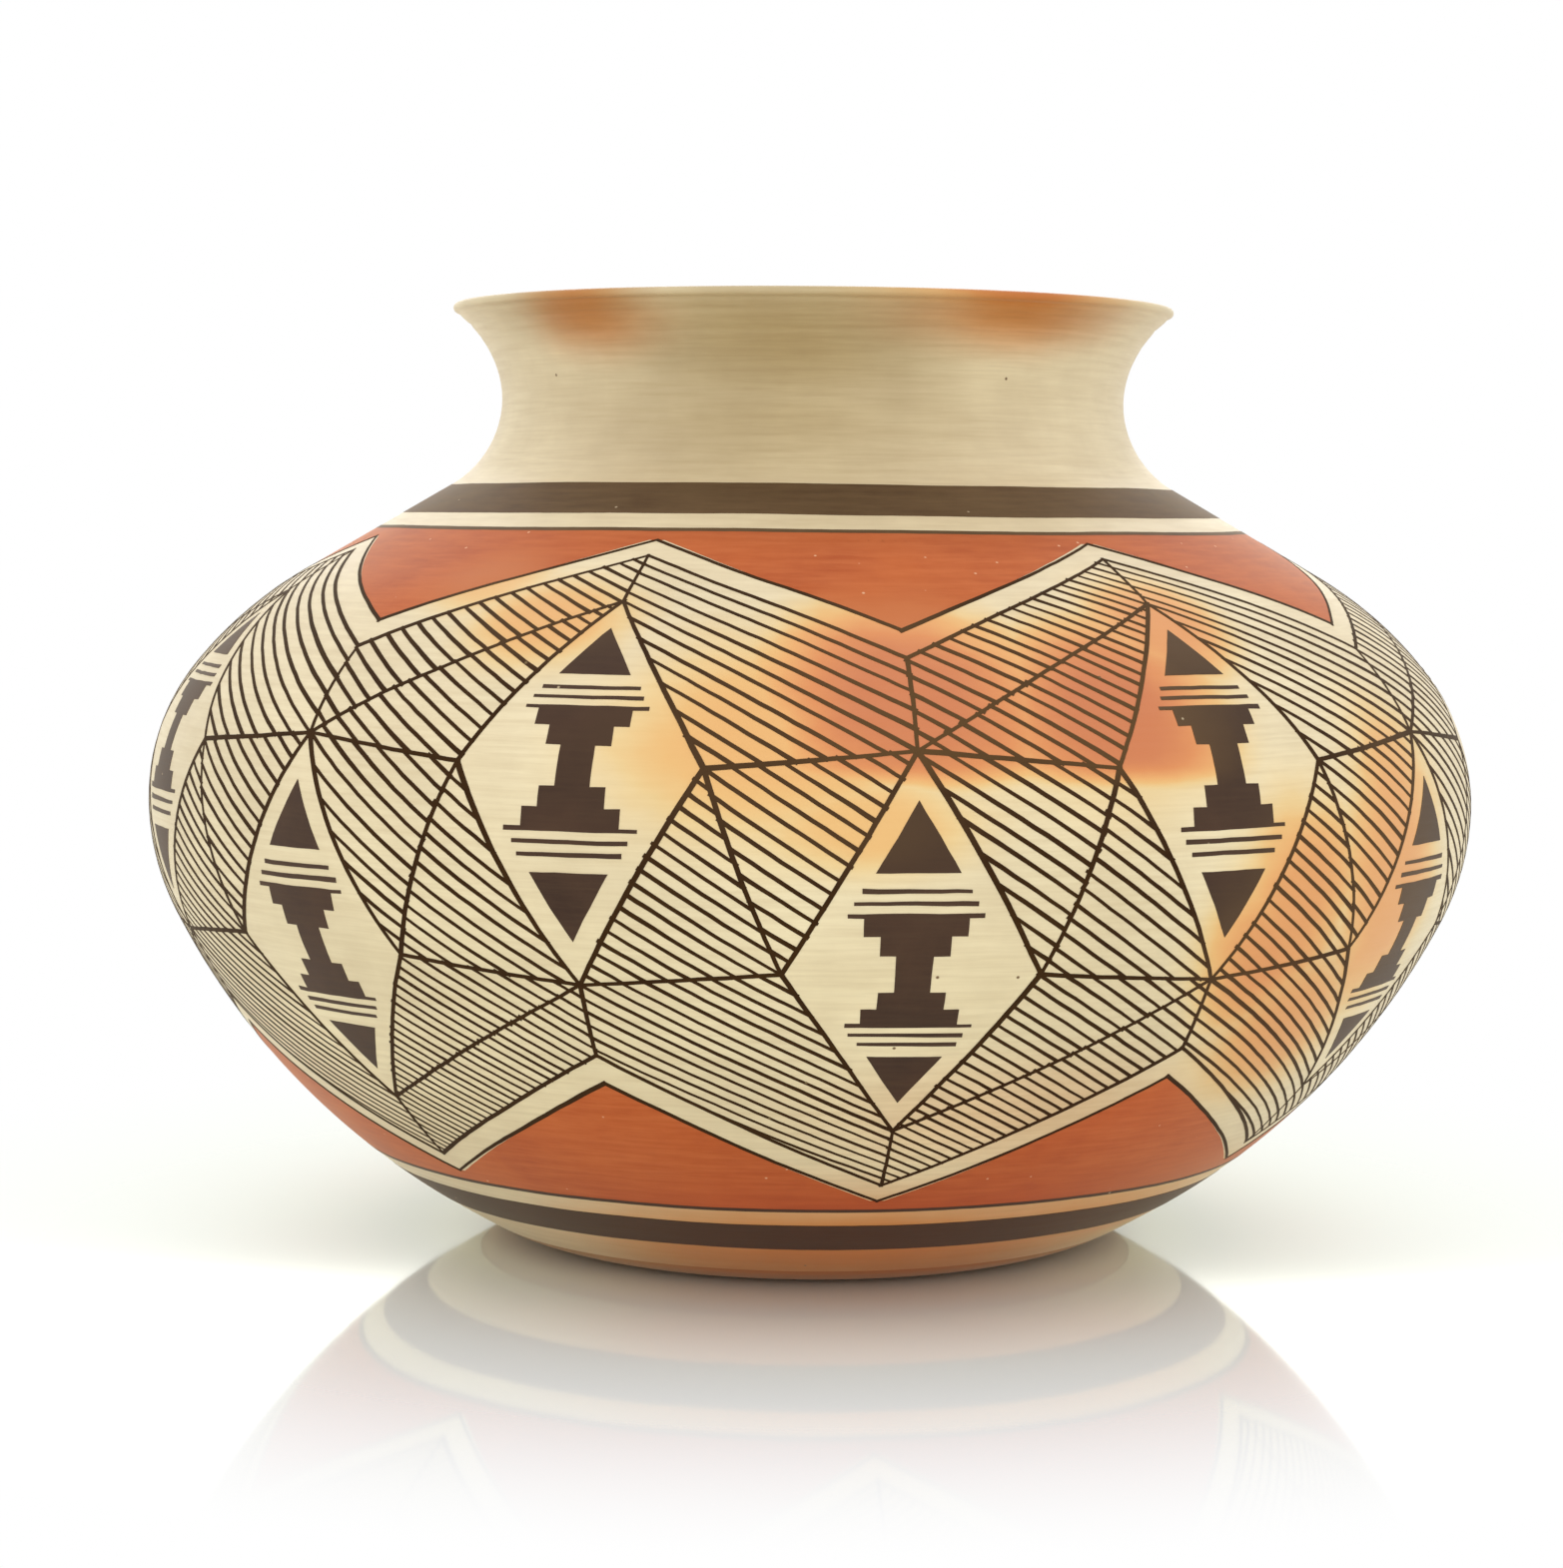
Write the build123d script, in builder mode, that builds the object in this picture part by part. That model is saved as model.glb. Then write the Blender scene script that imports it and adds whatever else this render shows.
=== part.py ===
from build123d import *
from dataclasses import dataclass
from math import atan2, cos, degrees, radians, sin, sqrt
import os

os.makedirs("parts", exist_ok=True)

# Overall sizes of the jar's outside, in millimetres and degrees
belly_radius = 150
belly_height = 100
neck_radius = 71.2
foot_radius = 56.5
foot_turn = 27.8
belly_turn = 39
shoulder_pitch = 30.5
rim_turn = 55.5
right_angle = 90

# Radius of each bend in the outside, from the foot up, and the part of the shoulder that is straight
foot_curve = 40
lower_belly_curve = 55.5
upper_belly_curve = 48.5
neck_curve = 22.5
rim_curve = 23
straight_share = 0.574

# Thickness of the clay, the slip and the paint
wall_thickness = 5.5
base_thickness = 7
lip_thickness = 2.6
slip_thickness = 0.3
paint_thickness = 0.15

# Painted bands, each measured along the wall
shoulder_band_width = 12.4
shoulder_line_gap = 5.8
foot_band_rise = 14.2
foot_band_width = 12.4
foot_line_gap = 6.0
line_width = 1.3
red_band_width = 3.5

# Coils laid in the longer stretches
lower_wall_coil_count = 3
shoulder_coil_count = 2


def left_of(heading):
    """The direction a quarter turn to the left of a heading, which points into the jar."""
    return Vector(-heading.Y, heading.X)


@dataclass
class Stretch:
    """An arc or straight of the outline. Its radius is below 0 where it bends right, and 0 where straight."""

    start: Vector
    heading: Vector
    radius: float
    length: float

    def piece(self, begin, end):
        """The piece of this stretch between two lengths along it."""
        if not self.radius:
            return Stretch(self.start + self.heading * begin, self.heading, self.radius, end - begin)
        centre = self.start + left_of(self.heading) * self.radius
        turned = degrees(begin / self.radius)
        start = centre + (self.start - centre).rotate(Axis.Z, turned)
        return Stretch(start, self.heading.rotate(Axis.Z, turned), self.radius, end - begin)

    def bend(self, radius, turn):
        """The arc that goes on from the end of this stretch, to the left where its turn is above 0."""
        end = self.piece(self.length, self.length)
        side = 1 if turn > 0 else -1
        return Stretch(end.start, end.heading, side * radius, radius * radians(abs(turn)))

    def straight(self, length):
        """The straight that goes on from the end of this stretch."""
        end = self.piece(self.length, self.length)
        return Stretch(end.start, end.heading, 0, length)

    def courses(self, count):
        """This stretch cut into a number of equal courses."""
        step = self.length / count
        return [self.piece(step * i, step * (i + 1)) for i in range(count)]

    def draw(self, depth):
        """Draw this stretch, set into the wall by a depth, in the line being built."""
        start = self.start + left_of(self.heading) * depth
        if not self.radius:
            return Line(start, start + self.heading * self.length)
        return JernArc(start, self.heading, abs(self.radius - depth), degrees(self.length / self.radius))


# The foot turns up from the edge of the flat base. The long arc of the lower wall goes on from it,
# with the one radius at which it meets the belly's lower arc smoothly.
foot = Stretch(Vector(foot_radius, 0), Vector(1, 0), foot_curve, foot_curve * radians(foot_turn))
foot_end = foot.piece(foot.length, foot.length)
from_belly = foot_end.start - Vector(belly_radius - lower_belly_curve, belly_height)
reach = from_belly.dot(left_of(foot_end.heading)) + lower_belly_curve
wall_curve = (lower_belly_curve**2 - from_belly.length**2) / (2 * reach)
wall_centre = from_belly + left_of(foot_end.heading) * wall_curve
lower_belly_turn = degrees(atan2(wall_centre.Y, -wall_centre.X))
wall_turn = right_angle - foot_turn - lower_belly_turn

# The bends at the belly and the neck close in by what their turns give. The shoulder closes in by the rest,
# partly on a wide arc and partly on a straight.
neck_turn = right_angle - shoulder_pitch
bends_inset = upper_belly_curve * (1 - cos(radians(belly_turn))) + neck_curve * (1 - cos(radians(neck_turn)))
shoulder_inset = belly_radius - neck_radius - bends_inset
shoulder_length = shoulder_inset * straight_share / sin(radians(neck_turn))
shoulder_arc_inset = shoulder_inset * (1 - straight_share)
shoulder_curve = shoulder_arc_inset / (cos(radians(belly_turn)) - cos(radians(neck_turn)))

# The rest of the outline, walked from the foot up to the lip
lower_wall = foot.bend(wall_curve, wall_turn)
lower_belly = lower_wall.bend(lower_belly_curve, lower_belly_turn)
upper_belly = lower_belly.bend(upper_belly_curve, belly_turn)
upper_shoulder = upper_belly.bend(shoulder_curve, neck_turn - belly_turn)
shoulder = upper_shoulder.straight(shoulder_length)
neck = shoulder.bend(neck_curve, -neck_turn)
rim = neck.bend(rim_curve, -rim_turn)
inner_depth = slip_thickness + wall_thickness


def write(piece, name):
    """Label a finished piece and write its STEP file."""
    piece.part.label = name
    export_step(piece.part, f"parts/{name}.step")


def ring(name, run, near, far):
    """Make the ring between two depths under a run of stretches, turned once round the jar."""
    with BuildPart() as piece:
        with BuildSketch(Plane.XZ):
            with BuildLine():
                outside = [stretch.draw(near) for stretch in run]
                inside = [stretch.draw(far) for stretch in run]
                Line(outside[0] @ 0, inside[0] @ 0)
                Line(outside[-1] @ 1, inside[-1] @ 1)
            make_face()
        revolve(axis=Axis.Z)
    write(piece, name)


# Base slab, with the turn of the foot, and its floor filled to its own thickness
foot_inner_curve = foot_curve - inner_depth
floor_reach = foot_radius + sqrt(foot_inner_curve**2 - (foot_curve - base_thickness)**2)
with BuildPart() as base_slab:
    with BuildSketch(Plane.XZ):
        with BuildLine():
            foot_outside = foot.draw(0)
            foot_inside = foot.draw(inner_depth)
            Line(foot_outside @ 1, foot_inside @ 1)
            Polyline(foot_outside @ 0, (0, 0), (0, inner_depth), foot_inside @ 0)
        make_face()
        Rectangle(floor_reach, base_thickness, align=(Align.MIN, Align.MIN))
    revolve(axis=Axis.Z)
write(base_slab, "base_slab")

# Wall coils, each a ring cut square to the wall
for number, course in enumerate(lower_wall.courses(lower_wall_coil_count), start=1):
    ring(f"lower_wall_coil_{number}", [course], slip_thickness, inner_depth)
ring("belly_coil_lower", [lower_belly], slip_thickness, inner_depth)
ring("belly_coil_upper", [upper_belly], slip_thickness, inner_depth)
for number, course in enumerate([upper_shoulder, *shoulder.courses(shoulder_coil_count)], start=1):
    ring(f"shoulder_coil_{number}", [course], slip_thickness, inner_depth)
ring("neck_coil", [neck], slip_thickness, inner_depth)

# Rim coil, thinned from the wall to a rounded lip
with BuildPart() as rim_coil:
    with BuildSketch(Plane.XZ):
        with BuildLine():
            rim_outside = rim.draw(slip_thickness)
            lip = JernArc(rim_outside @ 1, rim_outside % 1, lip_thickness / 2, 180)
            rim_foot = Line(rim_outside @ 0, rim_outside @ 0 - Vector(wall_thickness, 0))
            TangentArc(rim_foot @ 1, lip @ 1, tangent=(0, 1))
        make_face()
    revolve(axis=Axis.Z)
write(rim_coil, "rim_coil")

# Slip coat over the outside, from the top of the foot to the lip
walls = [lower_wall, lower_belly, upper_belly, upper_shoulder, shoulder, neck, rim]
ring("cream_slip", walls, 0, slip_thickness)



def painted_band(name, stretch, begin, end):
    """Make a band of paint on the slip, between two lengths along a stretch."""
    ring(name, [stretch.piece(begin, end)], -paint_thickness, 0)


# Painted bands under the neck, from the neck down
band_low = shoulder.length - shoulder_band_width
line_top = band_low - shoulder_line_gap
line_low = line_top - line_width
painted_band("shoulder_band", shoulder, band_low, shoulder.length)
painted_band("shoulder_line", shoulder, line_low, line_top)
painted_band("shoulder_red_band", shoulder, line_low - red_band_width, line_low)

# Painted bands above the foot, from the foot up
foot_band_top = foot_band_rise + foot_band_width
foot_line_low = foot_band_top + foot_line_gap
foot_line_top = foot_line_low + line_width
painted_band("foot_band", lower_wall, foot_band_rise, foot_band_top)
painted_band("foot_line", lower_wall, foot_line_low, foot_line_top)
painted_band("foot_red_band", lower_wall, foot_line_top, foot_line_top + red_band_width)
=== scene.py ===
"""A pueblo pottery jar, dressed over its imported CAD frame.

The jar is hand-built earthenware: scraped clay inside, a stone-polished cream slip outside, and brown-black
and brick-red paint. The painted field is a generic design of fine hatching, stepped terraces and red points,
laid out in equal cells round the belly. Sizes are in millimetres and turned to metres where a mesh is made.
"""

import logging
import math
import random
from dataclasses import dataclass, field
from enum import Enum

import bmesh
import bpy
import numpy as np
from mathutils import Euler, Matrix, Vector, noise

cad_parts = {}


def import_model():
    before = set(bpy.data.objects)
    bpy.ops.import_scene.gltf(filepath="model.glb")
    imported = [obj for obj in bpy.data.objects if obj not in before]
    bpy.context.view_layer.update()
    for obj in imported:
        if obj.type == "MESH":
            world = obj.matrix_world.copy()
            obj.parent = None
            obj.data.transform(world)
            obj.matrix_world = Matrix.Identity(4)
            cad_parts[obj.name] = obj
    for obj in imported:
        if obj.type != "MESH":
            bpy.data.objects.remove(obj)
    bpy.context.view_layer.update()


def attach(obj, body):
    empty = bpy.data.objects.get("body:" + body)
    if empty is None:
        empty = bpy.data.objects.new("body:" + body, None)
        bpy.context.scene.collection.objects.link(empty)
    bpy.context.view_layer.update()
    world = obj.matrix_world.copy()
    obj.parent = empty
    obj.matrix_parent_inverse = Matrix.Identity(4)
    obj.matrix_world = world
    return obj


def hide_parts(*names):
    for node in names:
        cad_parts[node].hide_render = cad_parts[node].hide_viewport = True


log = logging.getLogger("jar")
MM = 0.001
# Edges that turn by more than this many degrees stay sharp.
SHARP_ANGLE = 50
# Blender's vector noise starts from the clock unless it has a seed, so main gives it this one.
NOISE_SEED = 7
Flat = tuple[float, float]
Tree = bpy.types.NodeTree
Socket = bpy.types.NodeSocket


class Node(Enum):
    """The CAD nodes that the clay and the slip stand for."""

    BASE = "base_slab"
    WALL_1 = "lower_wall_coil_1"
    WALL_2 = "lower_wall_coil_2"
    WALL_3 = "lower_wall_coil_3"
    BELLY_LOWER = "belly_coil_lower"
    BELLY_UPPER = "belly_coil_upper"
    SHOULDER_1 = "shoulder_coil_1"
    SHOULDER_2 = "shoulder_coil_2"
    SHOULDER_3 = "shoulder_coil_3"
    NECK = "neck_coil"
    RIM = "rim_coil"
    SLIP = "cream_slip"


class Slot(Enum):
    """The record's material slots."""

    CLAY = "fired_clay"
    CREAM = "cream_slip"
    BLACK = "black_paint"
    RED = "red_slip"


# The jar's section


@dataclass(frozen=True)
class Stretch:
    """An arc or straight of the section. It bends left where its radius is above 0, and right below it."""

    across: float
    up: float
    heading: float
    radius: float
    length: float

    def at(self, distance: float) -> tuple[float, float, float]:
        """Find a point of the stretch.

        Args:
            distance: How far along the stretch it lies.

        Returns:
            Its distance from the jar's axis, its height, and the heading there in radians.
        """
        if not self.radius:
            step = (distance * math.cos(self.heading), distance * math.sin(self.heading))
            return self.across + step[0], self.up + step[1], self.heading
        turned = self.heading + distance / self.radius
        across = self.across + self.radius * (math.sin(turned) - math.sin(self.heading))
        return across, self.up - self.radius * (math.cos(turned) - math.cos(self.heading)), turned

    def bend(self, radius: float, turn: float) -> "Stretch":
        """Go on from the end in an arc.

        Args:
            radius: The arc's radius.
            turn: How far it turns in degrees, to the left where above 0.

        Returns:
            The arc.
        """
        side = math.copysign(radius, turn)
        return Stretch(*self.at(self.length), side, radius * math.radians(abs(turn)))

    def straight(self, length: float) -> "Stretch":
        """Go on from the end in a straight of a length."""
        return Stretch(*self.at(self.length), 0.0, length)


@dataclass(frozen=True)
class JarShape:
    """The sizes of the jar's section, as the CAD source has them, but for a thinner lip."""

    foot_radius: float = 56.5
    foot_curve: float = 40.0
    foot_turn: float = 27.8
    wall_curve: float = 160.99
    wall_turn: float = 35.73
    lower_belly_curve: float = 55.5
    lower_belly_turn: float = 26.47
    upper_belly_curve: float = 48.5
    belly_turn: float = 39.0
    shoulder_curve: float = 89.92
    shoulder_turn: float = 20.5
    shoulder_length: float = 37.91
    neck_curve: float = 22.5
    neck_turn: float = 59.5
    rim_curve: float = 23.0
    rim_turn: float = 55.5
    lip_radius: float = 0.95
    slip_thickness: float = 0.3
    wall_thickness: float = 5.5
    base_thickness: float = 7.0

    def outside(self) -> dict[str, Stretch]:
        """Draw the outside, from the edge of the flat base up to the lip.

        Returns:
            Its stretches by name, in order.
        """
        foot_length = self.foot_curve * math.radians(self.foot_turn)
        runs = {"foot": Stretch(self.foot_radius, 0.0, 0.0, self.foot_curve, foot_length)}
        runs["lower_wall"] = runs["foot"].bend(self.wall_curve, self.wall_turn)
        runs["lower_belly"] = runs["lower_wall"].bend(self.lower_belly_curve, self.lower_belly_turn)
        runs["upper_belly"] = runs["lower_belly"].bend(self.upper_belly_curve, self.belly_turn)
        runs["upper_shoulder"] = runs["upper_belly"].bend(self.shoulder_curve, self.shoulder_turn)
        runs["shoulder"] = runs["upper_shoulder"].straight(self.shoulder_length)
        runs["neck"] = runs["shoulder"].bend(self.neck_curve, -self.neck_turn)
        runs["rim"] = runs["neck"].bend(self.rim_curve, -self.rim_turn)
        return runs


class Wall:
    """The outside of the jar as a surface, found by a turn round the axis and a length up the wall.

    The hand-built wall lies INSET inside the true round, give or take SWELL. Both fade out over FOOT_FADE, up
    from the foot, and RIM_FADE, down from the lip. Each of SWELLS has its share, its count round the jar, its
    phase, and the length up the wall that slants it. Each of RIM_GROOVES, which the polishing stone left, has
    its length below the lip and its depth. GROOVE_FORCE is the share of that depth they have on average, and
    how much it varies. GROOVE_WANDER is how far they stray from level.
    """

    SPACING = 0.4
    INSET = 0.5
    SWELL = 0.28
    SWELLS = ((0.5, 2, 1.1, 70), (0.3, 3, -0.6, -41), (0.2, 5, 2.0, 23))
    FOOT_FADE = (4.0, 30.0)
    RIM_FADE = (26.0, 6.0)
    RIM_GROOVES = ((1.0, 0.36), (4.4, 0.18), (8.8, 0.1))
    GROOVE_WIDTH = 0.55
    GROOVE_FORCE = (0.75, 0.25)
    GROOVE_WANDER = 0.1

    def __init__(self, shape: JarShape) -> None:
        """Sample the outline finely.

        Args:
            shape: The sizes of the section.
        """
        self.shape = shape
        self.runs = shape.outside()
        self.starts: dict[str, float] = {}
        rows = []
        travelled = 0.0
        for name, run in self.runs.items():
            self.starts[name] = travelled
            count = max(2, round(run.length / self.SPACING))
            distances = [run.length * i / count for i in range(count)]
            rows += [(travelled + distance, *run.at(distance)) for distance in distances]
            travelled += run.length
        rows.append((travelled, *run.at(run.length)))
        self.length = travelled
        self.along, self.across, self.up, self.heading = np.array(rows).T
        steps = np.diff(self.along) / ((self.across[1:] + self.across[:-1]) / 2)
        spread = np.concatenate([[0.0], np.cumsum(steps)])
        self.belly = self.across.max()
        self.rise = (spread - np.interp(self.starts["upper_belly"], self.along, spread)) * self.belly

    def rise_at(self, along: float) -> float:
        """The height in the flat drawing, in millimetres at the belly, of a length up the wall."""
        return float(np.interp(along, self.along, self.rise))

    def radius_at(self, up: float) -> float:
        """Find the outside radius at a height.

        Args:
            up: The height. One above the waist of the neck counts as the waist's.

        Returns:
            The radius.
        """
        below = self.along <= self.starts["rim"]
        return float(np.interp(up, self.up[below], self.across[below]))

    def inset(self, turn: np.ndarray, along: np.ndarray) -> np.ndarray:
        """How far the hand-built wall lies inside the true round.

        Args:
            turn: Angles round the axis in radians.
            along: Lengths up the wall.

        Returns:
            The insets, which fade out at the foot and the lip, with the grooves under the lip.
        """
        swell = np.zeros_like(along)
        for share, count, phase, slant in self.SWELLS:
            swell += share * np.sin(count * turn + phase + along / slant)
        first, full = self.FOOT_FADE
        foot = np.clip((along - first) / (full - first), 0, 1)
        full, last = self.RIM_FADE
        rim = np.clip((self.length - along - last) / (full - last), 0, 1)
        fade = foot * foot * (3 - 2 * foot) * rim * rim * (3 - 2 * rim)
        grooves = np.zeros_like(along)
        mean, swing = self.GROOVE_FORCE
        for below, depth in self.RIM_GROOVES:
            middle = self.length - below * (1 + self.GROOVE_WANDER * np.sin(3 * turn + below))
            faint = mean + swing * np.sin(2 * turn + 2.3 * below)
            grooves += depth * faint * np.exp(-(((along - middle) / self.GROOVE_WIDTH) ** 2))
        return (self.INSET + self.SWELL * swell) * fade + grooves

    def place(self, turn: np.ndarray, along: np.ndarray, lift: np.ndarray) -> np.ndarray:
        """Put points on the wall.

        Args:
            turn: Angles round the axis in radians, 0 at the front and growing to the right.
            along: Lengths up the wall.
            lift: Heights over the wall's surface.

        Returns:
            The points, in metres.
        """
        heading = np.interp(along, self.along, self.heading)
        out = lift - self.inset(turn, along)
        across = np.interp(along, self.along, self.across) + out * np.sin(heading)
        up = np.interp(along, self.along, self.up) - out * np.cos(heading)
        return np.stack([across * np.sin(turn), -across * np.cos(turn), up], axis=1) * MM


# Small helpers


def linear(code: str) -> tuple[float, float, float, float]:
    """Turn an sRGB hex colour to linear RGBA."""
    parts = [int(code[i : i + 2], 16) / 255 for i in (1, 3, 5)]
    return *(c / 12.92 if c <= 0.04045 else ((c + 0.055) / 1.055) ** 2.4 for c in parts), 1.0


def add(tree: Tree, kind: str, links: dict | None = None, **settings: object) -> bpy.types.Node:
    """Add a node with its settings and links.

    Args:
        tree: The material's or the world's node tree.
        kind: The node's type name.
        links: What each input, by name or number, takes: a value, or another node's output.
        **settings: The node's own properties.

    Returns:
        The node.
    """
    node = tree.nodes.new(kind)
    for name, value in settings.items():
        setattr(node, name, value)
    for key, value in (links or {}).items():
        if isinstance(value, Socket):
            tree.links.new(value, node.inputs[key])
        else:
            node.inputs[key].default_value = value
    return node


def new_material(name: str) -> tuple[bpy.types.Material, Tree]:
    """Start a material with an empty node tree.

    Args:
        name: The material's name.

    Returns:
        The material and its node tree.
    """
    material = bpy.data.materials.new(name)
    material.use_nodes = True
    material.node_tree.nodes.clear()
    return material, material.node_tree


def finish_piece(
    bm: bmesh.types.BMesh, name: str, material: bpy.types.Material, nodes: tuple[str, ...] = ()
) -> None:
    """Turn a bmesh into a piece that rides with the jar.

    Args:
        bm: The finished mesh, which is freed.
        name: The piece's name.
        material: Its material.
        nodes: The CAD nodes that it stands for.
    """
    bmesh.ops.recalc_face_normals(bm, faces=bm.faces)
    mesh = bpy.data.meshes.new(name)
    bm.to_mesh(mesh)
    bm.free()
    mesh.materials.append(material)
    mesh.shade_smooth()
    mesh.set_sharp_from_angle(angle=math.radians(SHARP_ANGLE))
    piece = bpy.data.objects.new(name, mesh)
    bpy.context.scene.collection.objects.link(piece)
    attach(piece, "root")
    if nodes:
        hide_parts(*nodes)
    log.info("%s: %d faces", name, len(mesh.polygons))


# Finishes


class Mark(Enum):
    """What the fire left: a warm blush, an ochre toasting, or a thin brown haze of smoke. The smoke haze also
    lays painted shade, on the middle of the neck under the flared rim and on the foot.

    Each has how ragged it is, and the shares of its size where it fades out and where it is strongest.
    """

    BLUSH = (0.65, (1.2, 0.2))
    TOAST = (0.45, (1.2, 0.1))
    SMOKE = (0.35, (1.25, 0.0))


@dataclass(frozen=True)
class CloudOrShade:
    """A mark that the dung fire left on the pot, or a patch of painted shade, strongest in the middle.

    Args:
        turn: Where its middle lies round the jar, in degrees from the front to the right.
        height: The height of its middle.
        size: Its half width and half height.
        strength: How strong it is. A blush goes from amber towards coral as it gets stronger.
        floor: The height where it stops short, or 0 where it fades all round.
        mark: Which kind of mark it is.
    """

    turn: float
    height: float
    size: Flat
    strength: float
    floor: float = 0.0
    mark: Mark = Mark.BLUSH


@dataclass(frozen=True)
class CloudsAndShade:
    """The marks of the fire on the jar, and patches of painted shade, read by every finish that the fire
    touched.

    A noise of the size WAVER, longer round the jar by ROUND, makes their edges ragged. DRIFT scales it and
    centres it on 0. A mark with a floor stops over a height of GATE round it, down to GATE_LEFT of its
    strength, on a line that strays by GATE_DRIFT in metres.
    """

    WAVER = 26.0
    ROUND = (0.6, 0.6, 1.0)
    DRIFT = (0.9, -0.45)
    GATE = (-2, 5)
    GATE_LEFT = 0.3
    GATE_DRIFT = 0.012

    wall: Wall
    clouds_and_shade: tuple[CloudOrShade, ...] = (
        CloudOrShade(8, 129, (40, 29), 1.0, 112),
        CloudOrShade(25, 127, (36, 29), 1.0, 112),
        CloudOrShade(33, 142, (24, 20), 0.7),
        CloudOrShade(-4, 122, (42, 30), 0.48),
        CloudOrShade(4, 106, (32, 13), 0.42),
        CloudOrShade(38, 78, (22, 26), 0.68),
        CloudOrShade(-24, 143, (26, 14), 0.5),
        CloudOrShade(-34, 150, (20, 12), 0.42),
        CloudOrShade(41, 88, (24, 34), 0.66),
        CloudOrShade(54, 90, (30, 50), 0.62),
        CloudOrShade(46, 62, (32, 28), 0.5),
        CloudOrShade(-38, 211, (20, 6), 0.42),
        CloudOrShade(32, 212, (46, 6), 0.55),
        CloudOrShade(4, 12, (80, 19), 0.34),
        CloudOrShade(48, 16, (54, 20), 0.4),
        CloudOrShade(150, 120, (60, 42), 0.85, 96),
        CloudOrShade(190, 140, (44, 26), 0.5),
        CloudOrShade(235, 84, (40, 44), 0.6),
        CloudOrShade(215, 205, (26, 9), 0.7),
        CloudOrShade(110, 206, (18, 8), 0.5),
        CloudOrShade(-38, 207, (23, 12.5), 0.86, mark=Mark.TOAST),
        CloudOrShade(34, 207.5, (37, 11.5), 0.88, mark=Mark.TOAST),
        CloudOrShade(10, 12, (84, 24), 0.93, mark=Mark.TOAST),
        CloudOrShade(20, 46, (50, 17), 0.3, mark=Mark.TOAST),
        CloudOrShade(44, 64, (26, 28), 0.3, mark=Mark.TOAST),
        # The next two marks darken the middle of the neck: partly a smoke haze, partly painted shade under
        # the flared rim.
        CloudOrShade(-4, 198, (54, 26), 1.0, mark=Mark.SMOKE),
        CloudOrShade(-4, 185, (64, 27), 0.82, mark=Mark.SMOKE),
        CloudOrShade(6, 163, (74, 7), 0.35, mark=Mark.SMOKE),
        CloudOrShade(-38, 209, (44, 11), 0.7, mark=Mark.SMOKE),
        CloudOrShade(35, 209, (45, 11), 0.6, mark=Mark.SMOKE),
        # This mark darkens the foot: partly a smoke haze, partly painted shade low on the jar near the floor.
        CloudOrShade(6, 4, (90, 12), 0.45, mark=Mark.SMOKE),
        CloudOrShade(0, 213, (300, 4.0), 0.45, mark=Mark.SMOKE),
        CloudOrShade(160, 190, (60, 30), 0.6, mark=Mark.SMOKE),
    )

    def mask(self, tree: Tree, where: Socket, mark: Mark) -> Socket:
        """Draw the marks of one kind in a material.

        Args:
            tree: The material's node tree.
            where: Object coordinates.
            mark: Which marks to draw.

        Returns:
            How strong they are at each point, from 0 to 1.
        """
        level = add(tree, "ShaderNodeMapping", {"Vector": where, "Scale": self.ROUND}).outputs[0]
        links = {"Vector": level, "Scale": 1 / (self.WAVER * MM), "Detail": 4.0, "Roughness": 0.58}
        ragged = add(tree, "ShaderNodeTexNoise", links).outputs[0]
        links = {0: ragged, 1: self.DRIFT[0], 2: self.DRIFT[1]}
        drift = add(tree, "ShaderNodeMath", links, operation="MULTIPLY_ADD").outputs[0]
        strongest: Socket | None = None
        for cloud_or_shade in (cloud_or_shade for cloud_or_shade in self.clouds_and_shade if cloud_or_shade.mark is mark):
            seen = self._draw(tree, where, drift, cloud_or_shade)
            if strongest is not None:
                seen = add(tree, "ShaderNodeMath", {0: strongest, 1: seen}, operation="MAXIMUM").outputs[0]
            strongest = seen
        return strongest

    def _draw(self, tree: Tree, where: Socket, drift: Socket, cloud_or_shade: CloudOrShade) -> Socket:
        """Draw one mark.

        Args:
            tree: The material's node tree.
            where: Object coordinates.
            drift: How far the edges stray at each point.
            cloud_or_shade: The mark.

        Returns:
            How strong it is at each point.
        """
        turn = math.radians(cloud_or_shade.turn)
        radius = self.wall.radius_at(cloud_or_shade.height)
        middle = Vector((radius * math.sin(turn), -radius * math.cos(turn), cloud_or_shade.height)) * MM
        size = Vector((cloud_or_shade.size[0], cloud_or_shade.size[0], cloud_or_shade.size[1])) * MM
        links = {"Vector": where, "Location": middle, "Rotation": (0, 0, turn), "Scale": size}
        local = add(tree, "ShaderNodeMapping", links, vector_type="TEXTURE").outputs[0]
        reach = add(tree, "ShaderNodeVectorMath", {0: local}, operation="LENGTH").outputs["Value"]
        uneven, (edge, core) = cloud_or_shade.mark.value
        links = {0: drift, 1: uneven, 2: reach}
        reach = add(tree, "ShaderNodeMath", links, operation="MULTIPLY_ADD").outputs[0]
        links = {"Value": reach, "From Min": edge, "From Max": core, "To Max": cloud_or_shade.strength}
        seen = add(tree, "ShaderNodeMapRange", links, interpolation_type="SMOOTHSTEP").outputs[0]
        if not cloud_or_shade.floor:
            return seen
        height = add(tree, "ShaderNodeSeparateXYZ", {0: where}).outputs["Z"]
        links = {0: drift, 1: self.GATE_DRIFT, 2: height}
        sunk = add(tree, "ShaderNodeMath", links, operation="MULTIPLY_ADD").outputs[0]
        low, high = ((cloud_or_shade.floor + off) * MM for off in self.GATE)
        links = {"Value": sunk, "From Min": low, "From Max": high, "To Min": self.GATE_LEFT}
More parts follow.
